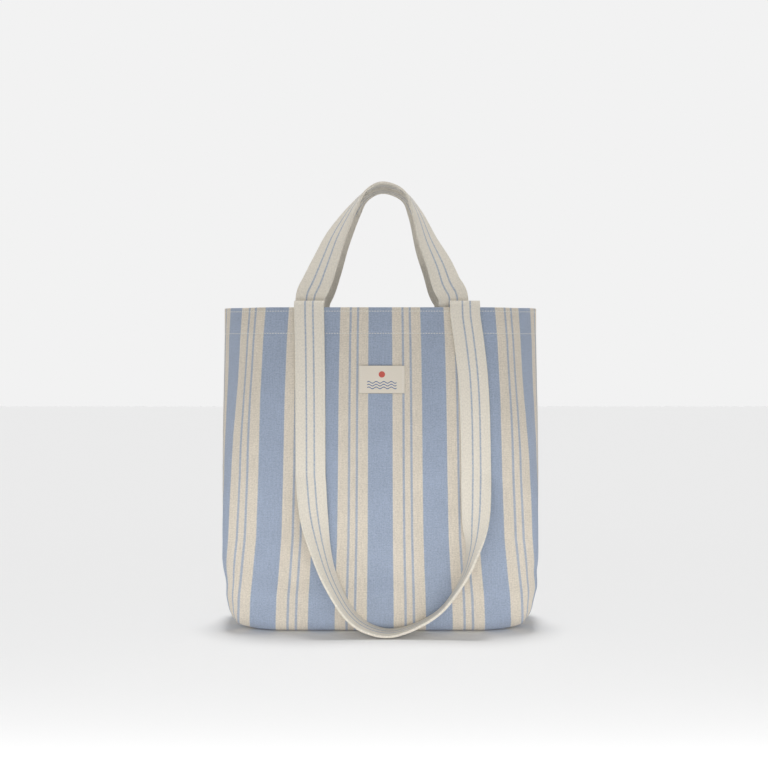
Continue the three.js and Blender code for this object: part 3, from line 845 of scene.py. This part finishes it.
def rim_fold(end, across_x):
    """The turn over the rim, from the tucked end to the leg outside."""
    top_y = float(strap_depth(RIM_Z, 0.0))
    radius = (end.y - top_y) / 2
    angle = np.linspace(0, math.pi, 14)[1:-1]
    middle = np.stack([0 * angle + end.x, (end.y + top_y) / 2 + radius * np.cos(angle),
                       LEG_TOP + 0.0003 + 1.15 * radius * np.sin(angle)], axis=-1)
    return middle, np.tile([across_x, 0.0, 0.0], (len(angle), 1))


def joined(parts):
    middle = np.concatenate([p[0] for p in parts])
    across = np.concatenate([p[1] for p in parts])
    keep = np.concatenate([[True], np.linalg.norm(np.diff(middle, axis=0), axis=1) > 1e-5])
    return middle[keep], across[keep]


def resampled(path, step):
    middle, across = path
    run = np.concatenate([[0], np.cumsum(np.linalg.norm(np.diff(middle, axis=0), axis=1))])
    count = max(8, int(round(run[-1] / step)))
    places = np.linspace(0, run[-1], count + 1)
    middle = np.stack([np.interp(places, run, middle[:, i]) for i in range(3)], axis=-1)
    across = np.stack([np.interp(places, run, across[:, i]) for i in range(3)], axis=-1)
    return middle, across, places


def reversed_path(path):
    return path[0][::-1], path[1][::-1]


def strap_path():
    left_leg = leg(LEFT_END.x, LEFT_DRIFT)
    right_leg = leg(RIGHT_END.x, RIGHT_DRIFT)
    left_x, right_x = LEFT_END.x + LEFT_DRIFT, RIGHT_END.x + RIGHT_DRIFT
    stations = [
        (mix(left_x, right_x, a), mix(LOOP_LOW, LOOP_TOP, up), turn)
        for a, up, turn in LOOP_SHAPE
    ]
    loop = ribbon(stations, 240, 1, strap_depth)
    right_up = reversed_path(right_leg)
    right_up = (right_up[0], -right_up[1])
    right_fold = rim_fold(RIGHT_END, 1.0)
    right_tuck = tucked(RIGHT_END, LEG_TOP, 1.0)
    return joined([
        tucked(LEFT_END, LEG_TOP, -1.0), rim_fold(LEFT_END, -1.0), left_leg, loop, right_up,
        reversed_path(right_fold), reversed_path(right_tuck),
    ])


def handle_path():
    stations = [
        (mix(HANDLE_LEFT.x, HANDLE_RIGHT.x, a), mix(HANDLE_FOOT, HANDLE_TOP, up), turn)
        for a, up, turn in HANDLE_SHAPE
    ]
    arch = ribbon(stations, 240, -1, handle_depth)
    return joined([
        tucked(HANDLE_LEFT, HANDLE_FOOT, -1.0), arch, reversed_path(tucked(HANDLE_RIGHT, HANDLE_FOOT, 1.0)),
    ])


HALF_WIDTH = STRAP_WIDTH / 2


def strap_profile():
    """Half of the strap's outline, across and thickness: flat layers pressed by the stitches."""
    places = [0, 0.15, 0.3, 0.45, 0.6, 0.72, 0.8, 0.85, 0.874, 0.9, 0.93, 0.96]
    outline = []
    for place in places:
        across = place * HALF_WIDTH
        pressed = math.exp(-(((HALF_WIDTH - EDGE_ROW_IN - across) / 0.0009) ** 2))
        outline.append((across, HALF_THICK * (0.97 - 0.05 * (1 - place) - 0.16 * pressed)))
    for angle in (0.35, 0.7, 1.05, 1.35):
        outline.append((HALF_WIDTH - 0.0008 + 0.0008 * math.sin(angle), HALF_THICK * math.cos(angle) ** 0.8))
    return outline


def strap_ring():
    """The whole outline, once round, with a fine groove where the folded edges meet."""
    half = strap_profile()
    front = [(-a, t) for a, t in half[:0:-1]] + half
    behind = [(a, -t) for a, t in half[::-1]] + [(-a, -t) for a, t in half[1:]]
    groove = [(HALF_WIDTH - 0.0007, 0.0)]
    edge = [(-HALF_WIDTH, 0.0)]
    return np.array(front + groove + behind + edge)


RING = strap_ring()


def sides_of(path):
    middle, across, places = path
    tangent = np.gradient(middle, axis=0)
    tangent /= np.linalg.norm(tangent, axis=1, keepdims=True)
    across = across - tangent * np.sum(across * tangent, axis=1, keepdims=True)
    across /= np.linalg.norm(across, axis=1, keepdims=True)
    return tangent, across, np.cross(across, tangent)


def uneven(places, size, seed):
    return np.array([noise.fractal(Vector((p / size, seed, 0)), 1.0, 2.0, 3) for p in places])


def strap_points(path, seed):
    """Rings of points along the strap, a little uneven as hand-folded cloth is."""
    middle, places = path[0], path[2]
    across, face = sides_of(path)[1:]
    width = 1 + 0.008 * uneven(places, 0.05, seed)
    left_edge = 0.00012 * uneven(places, 0.006, seed + 3)
    right_edge = 0.00012 * uneven(places, 0.006, seed + 5)
    puff = 1 + 0.05 * uneven(places, 0.02, seed + 7)
    a = RING[:, 0][None, :] * width[:, None]
    from_middle = np.abs(RING[:, 0]) / HALF_WIDTH
    for on_side, edge in ((RING[:, 0] < 0, left_edge), (RING[:, 0] > 0, right_edge)):
        a = a + np.where(on_side, 1, 0)[None, :] * edge[:, None] * from_middle
    t = RING[:, 1][None, :] * puff[:, None]
    return middle[:, None, :] + a[..., None] * across[:, None, :] + t[..., None] * face[:, None, :]


def strap_object(name, path, seed, back, shift_of):
    """A closed band along the path. shift_of moves the thin lines across the strap."""
    grid = strap_points(path, seed)
    rings, count = grid.shape[:2]
    shift = np.array([shift_of(p) for p in path[2]])
    u = np.tile(RING[:, 0], (rings, 1))
    v = np.tile(path[2][:, None], (1, count))
    points = grid.reshape(-1, 3)
    if back:
        points = mirror(points)
    faces = grid_faces(rings, count, 0, not back, closed=True)
    first, last = list(range(count)), [(rings - 1) * count + i for i in range(count)]
    faces += [first[::-1], last] if back else [first, last[::-1]]
    faces = [f[::-1] for f in faces]
    uv = {"cloth": np.stack([u, v], axis=-1).reshape(-1, 2),
          "stripe": np.stack([u - shift[:, None], v], axis=-1).reshape(-1, 2)}
    return dress(new_object(name, points, faces, uv), STRAP, "strap_canvas")


def edge_stitches(name, path, back):
    """Both faces' rows of stitches along both edges of a strap."""
    middle, across, places = path
    tangent, across, face = sides_of(path)
    spots = np.arange(places[0] + STITCH_PITCH / 2, places[-1], STITCH_PITCH)
    at = [np.stack([np.interp(spots, places, v[:, i]) for i in range(3)], axis=-1)
          for v in (middle, across, tangent, face)]
    rows = []
    for side in (-1, 1):
        for front in (-1, 1):
            out = at[3] * front
            spot = at[0] + at[1] * side * (HALF_WIDTH - EDGE_ROW_IN) + out * (HALF_THICK * 0.84)
            rows += list(zip(spot, at[2], out))
    if back:
        rows = [tuple(mirror(v) for v in row) for row in rows]
    return dress(stitches(name, rows, width=0.0006, height=0.0004, sides=5), THREAD, "thread")


def part_of(path, start, end):
    """The path between two places, with a ring close to each end that keeps its shading even."""
    middle, across, places = path
    inner = places[(places > start + 0.001) & (places < end - 0.001)]
    at = np.concatenate([[start, start + 0.0001], inner, [end - 0.0001, end]])
    middle, across = (
        np.stack([np.interp(at, places, v[:, i]) for i in range(3)], axis=-1)
        for v in (middle, across)
    )
    return middle, across, at


SWING_IN = 0.0014
SWING_START = Vector((0, LEFT_END.y - SWING_IN, LEG_TOP))
SWING_END = Vector((0, float(strap_depth(RIM_Z, 0.0)) + SWING_IN, LEG_TOP))
SPLIT_Z = 0.30
FOLD_JOINT_Z = 0.2
FOLD_REACH = 0.036


def build_strap(side, back):
    path = resampled(strap_path(), PATH_STEP)
    middle, places = path[0], path[2]
    half = places[-1] / 2
    outside = middle[:, 1] < LEFT_END.y - 0.004
    left = places[(places < half) & outside & (middle[:, 2] < SPLIT_Z)][0]
    right = places[(places > half) & outside & (middle[:, 2] < SPLIT_Z)][-1]

    def shift_of(place):
        return 0.0016 * float(smoothstep(half, places[-1], place))

    seed = 50 if back else 20
    flip = mirror if back else np.asarray
    made = []
    for name, start, end in (("left", 0, left), ("right", right, places[-1])):
        part = part_of(path, start, end)
        upper = strap_object(f"{side}_strap_{name}_cloth", part, seed, back, shift_of)
        thread = edge_stitches(f"{side}_strap_{name}_stitches", part, back)
        for piece in (upper, thread):
            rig.blend(piece, "root", f"{side}_strap", flip(SWING_START), flip(SWING_END))
        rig.replaces(upper, f"{side}_strap_{name}_end", f"{side}_strap_{name}_fold",
                    f"{side}_strap_{name}_leg")
        made.append((upper, thread, end - start))
    part = part_of(path, left, right)
    loop = strap_object(f"{side}_strap_loop_cloth", part, seed, back, shift_of)
    thread = edge_stitches(f"{side}_strap_loop_stitches", part, back)
    for piece in (loop, thread):
        # The bend lies wholly below the joint, so that no cloth is pushed into the panel
        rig.blend(piece, f"{side}_strap", f"{side}_loop", (0, 0, FOLD_JOINT_Z),
                 (0, 0, FOLD_JOINT_Z - FOLD_REACH))
    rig.replaces(loop, f"{side}_strap_loop")
    made.append((loop, thread, right - left))
    for cloth, thread, length in made:
        held = "hung" if cloth is loop else "folded"
        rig.sheet(cloth, flat=(STRAP_WIDTH, length), held=held,
                 rests_on=[f"{side}_panel_cloth"], with_pieces=[thread])


def build_handle(side, back):
    path = resampled(handle_path(), PATH_STEP)
    cloth = strap_object(f"{side}_handle_cloth", path, 80 if back else 90, back, lambda p: 0.0)
    thread = edge_stitches(f"{side}_handle_stitches", path, back)
    flip = mirror if back else np.asarray
    for piece in (cloth, thread):
        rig.blend(piece, "root", f"{side}_handle", flip((0, HANDLE_LEFT.y, HANDLE_FOOT - 0.012)),
                 flip((0, HANDLE_LEFT.y, HANDLE_FOOT + 0.012)))
    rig.replaces(cloth, f"{side}_handle_left_end", f"{side}_handle_right_end", f"{side}_short_handle")
    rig.sheet(cloth, flat=(STRAP_WIDTH, path[2][-1]), held="folded",
             rests_on=[f"{side}_panel_cloth"], with_pieces=[thread])


for side, back in (("front", False), ("back", True)):
    build_strap(side, back)
    build_handle(side, back)


# ---- Hem stitching -------------------------------------------------------------------

def wall_row(wall, z, inset, sign):
    """Stitches along the wall at height z. sign is 1 for stitches that stand outwards."""
    fine = np.linspace(-0.995, 0.995, 400)
    line, run = wall.point(fine, z, inset)
    spots = np.arange(run[0] + STITCH_PITCH / 2, run[-1], STITCH_PITCH)
    middle = np.stack([np.interp(spots, run, line[:, i]) for i in range(3)], axis=-1)
    along = np.gradient(middle, axis=0)
    out = np.cross(along, (0, 0, 1.0)) * sign
    return list(zip(middle, along, out))


def hem_stitches(side, wall, back, row, inner_inset):
    z = RIM_Z - (UPPER_ROW if row == "upper" else LOWER_ROW)
    rows = wall_row(wall, z, -0.00005, 1) + wall_row(wall, z, inner_inset, -1)
    if back:
        rows = [tuple(mirror(v) for v in r) for r in rows]
    thread = stitches(f"{side}_hem_{row}_stitches", rows, width=0.0008, height=0.0005)
    obj = dress(thread, THREAD, "thread")
    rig.ride(obj, "root")
    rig.replaces(obj, f"{side}_hem_{row}_stitching")
    return obj


hem_rows = {}
for side, wall, back in (("front", FRONT, False), ("back", BACK, True)):
    hem_rows[side] = [hem_stitches(side, wall, back, row, 2 * FOLD_ROUND) for row in ("upper", "lower")]


# ---- Label ---------------------------------------------------------------------------

def build_label():
    low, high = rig.box("label")
    width, height = high.x - low.x, high.z - low.z
    s = np.linspace(0, 1, 49)[None, :]
    t = np.linspace(0, 1, 31)[:, None]
    x = low.x + width * s + 0 * t
    z = high.z - height * t + 0 * s
    q = x / (section(z)[0])
    lift = 0.0013 * np.sin(np.pi * s) ** 0.7 * (0.35 + 0.65 * (1 - t) ** 2)
    lift = lift + 0.0003 * np.sin(np.pi * s) * np.sin(7 * s + 3 * t)
    grid = FRONT.point(q, z, -0.00035 - 0.0006 - lift)[0]
    grid[..., 0] = x
    uv = {"cloth": np.stack([x - (low.x + high.x) / 2, z - (low.z + high.z) / 2], axis=-1)}
    obj = sheet_object("label_woven", grid, uv, 0.0006)
    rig.ride(dress(obj, LABEL, "label_cloth"), "root")
    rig.replaces(obj, "label")
    rows = []
    for edge in (low.x + 0.0028, high.x - 0.0028):
        for spot in np.arange(low.z + 0.0022, high.z - 0.001, 0.0026):
            place = FRONT.point(edge / section(spot)[0], spot, -0.0012)[0]
            rows.append(((edge, float(place[1]), spot), (0, 0, 1), (0, -1, 0)))
    thread = dress(stitches("label_stitches", rows, length=0.0021, width=0.0006), THREAD, "thread")
    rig.ride(thread, "root")
    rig.replaces(thread, "label_left_stitching", "label_right_stitching")
    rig.sheet(obj, flat=(width, height), held="laid", rests_on=["front_panel_cloth"],
             with_pieces=[thread])


build_label()


# ---- Bound seams ---------------------------------------------------------------------

def binding(name, line, inward, out, stands_for, flipped, reach=0.0085):
    """A folded tape round a seam allowance. line is the allowance's free edge; inward points
    from the tape's fold towards the seam, and out across the tape."""
    half = CLOTH + 0.0004
    shape = [(reach, half), (reach * 0.66, half), (reach * 0.33, half), (0.0006, half)]
    shape += [(-0.0007 * math.sin(a) + 0.0004, half * math.cos(a)) for a in (0.5, 1.1, 1.57, 2.04, 2.64)]
    shape += [(a, -o) for a, o in shape[3::-1]]
    grid = np.array([[p + i * a + o * b for a, b in shape] for p, i, o in zip(line, inward, out)])
    run = np.concatenate([[0], np.cumsum(np.linalg.norm(np.diff(np.array(line), axis=0), axis=1))])
    across = np.linspace(0, 2 * reach, len(shape))
    uv = {"cloth": np.stack(np.meshgrid(across, run), axis=-1)}
    obj = sheet_object(name, grid, uv, 0.0004, flipped)
    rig.ride(dress(obj, BINDING, "seam_binding"), "root")
    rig.replaces(obj, stands_for)
    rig.sheet(obj, flat=(2 * reach, float(run[-1])), held="folded",
             rests_on=["front_panel_cloth", "back_panel_cloth"])


def build_side_binding(side, sign):
    heights = np.linspace(0.040, HEM_BOTTOM - 0.003, 90)
    edge = FRONT.point(sign * 2.0 + 0 * heights, heights, 0.0)[0]
    line = [Vector((p[0], 0, p[2])) for p in edge]
    inward = [Vector((sign, 0, 0))] * len(line)
    out = [Vector((0, 1, 0))] * len(line)
    binding(f"{side}_side_seam_tape", line, inward, out, f"{side}_side_seam", sign > 0)


for side, sign in (("left", -1), ("right", 1)):
    build_side_binding(side, sign)


def flat_tape(name, x_low, x_high, y_low, y_high, stands_for):
    """A bound allowance that lies on the base: a soft strip with rounded edges."""
    base = CLOTH + 0.0003
    s = np.linspace(0, 1, 60)[None, :]
    t = np.linspace(0, 1, 15)[:, None]
    rise = 0.0022 * (1 - np.abs(2 * t - 1) ** 5) + 0.0002 * np.sin(40 * s)
    long_x = (x_high - x_low) > (y_high - y_low)
    a, b = (s, t) if long_x else (t, s)
    x = x_low + (x_high - x_low) * a
    y = y_low + (y_high - y_low) * b
    grid = np.stack(np.broadcast_arrays(x, y, base + rise), axis=-1)
    uv = {"cloth": grid[..., :2].copy()}
    obj = sheet_object(name, grid, uv, 0.0005, flipped=long_x)
    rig.ride(dress(obj, BINDING, "seam_binding"), "root")
    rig.replaces(obj, stands_for)
    flat = (x_high - x_low + 0.0015, y_high - y_low + 0.0015)
    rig.sheet(obj, flat=flat, held="laid", rests_on=["front_panel_cloth"])


for node in ("bottom_seam", "left_corner_seam", "right_corner_seam"):
    low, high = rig.box(node)
    flat_tape(f"{node}_tape", low.x, high.x, low.y, high.y, node)

CLOTH_HALF_WIDTH = 0.2475  # chosen between the longer run at the base and the shorter one at the rim
PANEL_FLAT = (2 * (CLOTH_HALF_WIDTH + ALLOWANCE), RIM_Z + HEM_DEPTH + BASE_HALF_DEPTH)
for panel_piece, side in ((front_panel, "front"), (back_panel, "back")):
    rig.sheet(panel_piece, flat=PANEL_FLAT, held="stretched", rests_on=["studio_floor"],
             with_pieces=hem_rows[side])


# ---- The studio ----------------------------------------------------------------------

WALL_LIGHT = 0.888
CEILING_LIGHT = 0.34
ROOM_BEHIND = 0.93  # how bright the side that faces the bag's front is, against the rest
FLOOR_HALF, FLOOR_Z = 14.0, -0.0004
CAMERA_PLACE, CAMERA_LENS = (0.0047, -1.454, 0.3149), 51.56


def build_floor():
    corners = ((-1, -1), (1, -1), (1, 1), (-1, 1))
    points = [(x * FLOOR_HALF, y * FLOOR_HALF, FLOOR_Z) for x, y in corners]
    floor = new_object("studio_floor", points, [[0, 1, 2, 3]], smooth=False)
    m = Material("studio_floor")
    m.shader.inputs["Base Color"].default_value = (0.88, 0.88, 0.88, 1)
    m.shader.inputs["Roughness"].default_value = 0.9
    m.shader.inputs["Specular IOR Level"].default_value = 0.0
    floor.data.materials.append(m.material)
    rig.stage(floor)


def add_light(kind, name, energy, **settings):
    """A lamp that the camera doesn't see."""
    data = bpy.data.lights.new(name, kind)
    data.energy = energy
    place = settings.pop("place")
    aim = settings.pop("aim")
    for key, value in settings.items():
        setattr(data, key, value)
    lamp = bpy.data.objects.new(name, data)
    lamp.location = place
    lamp.visible_camera = False
    lamp.rotation_euler = (Vector(aim) - Vector(place)).to_track_quat("-Z", "Y").to_euler()
    bpy.context.scene.collection.objects.link(lamp)


def build_world():
    """A pale wall all round, a little dimmer where the bag's front faces it, and a dim ceiling."""
    world = bpy.data.worlds.new("studio")
    world.use_nodes = True
    tree = world.node_tree
    direction = tree.nodes.new("ShaderNodeTexCoord")
    split = tree.nodes.new("ShaderNodeSeparateXYZ")
    fade = tree.nodes.new("ShaderNodeMapRange")
    fade.interpolation_type = "SMOOTHSTEP"
    for socket, value in zip(fade.inputs[1:5], (0.36, 0.62, WALL_LIGHT, CEILING_LIGHT)):
        socket.default_value = value
    tree.links.new(direction.outputs["Generated"], split.inputs[0])
    tree.links.new(split.outputs[2], fade.inputs[0])
    round_fade = tree.nodes.new("ShaderNodeMapRange")
    for socket, value in zip(round_fade.inputs[1:5], (-0.5, 0.2, ROOM_BEHIND, 1.0)):
        socket.default_value = value
    tree.links.new(split.outputs[1], round_fade.inputs[0])
    strength = tree.nodes.new("ShaderNodeMath")
    strength.operation = "MULTIPLY"
    tree.links.new(fade.outputs[0], strength.inputs[0])
    tree.links.new(round_fade.outputs[0], strength.inputs[1])
    background = tree.nodes["Background"]
    background.inputs["Color"].default_value = (1, 1, 1, 1)
    tree.links.new(strength.outputs[0], background.inputs["Strength"])
    bpy.context.scene.world = world


def build_studio():
    build_floor()
    build_world()
    add_light("SUN", "overhead", 1.52, place=(0, 0.24, 2.6), aim=(0, 0, 0), angle=math.radians(12))
    add_light("AREA", "low_front", 0.85, place=(0, -0.72, 0.04), aim=(0, -0.06, 0.03),
              shape="RECTANGLE", size=1.2, size_y=0.02, spread=math.radians(80))
    camera_data = bpy.data.cameras.new("camera")
    camera_data.lens = CAMERA_LENS
    camera_data.sensor_width = 36
    camera_data.clip_end = 50
    camera = bpy.data.objects.new("camera", camera_data)
    camera.location = CAMERA_PLACE
    camera.rotation_euler = (math.pi / 2, 0, 0)
    bpy.context.scene.collection.objects.link(camera)
    bpy.context.scene.camera = camera
    bpy.context.scene.view_settings.view_transform = "Standard"


build_studio()

now_low, now_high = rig.bounds()
with open("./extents.json", "w") as f:
    json.dump({"cad": [list(cad_low), list(cad_high)], "visual": [list(now_low), list(now_high)]}, f)
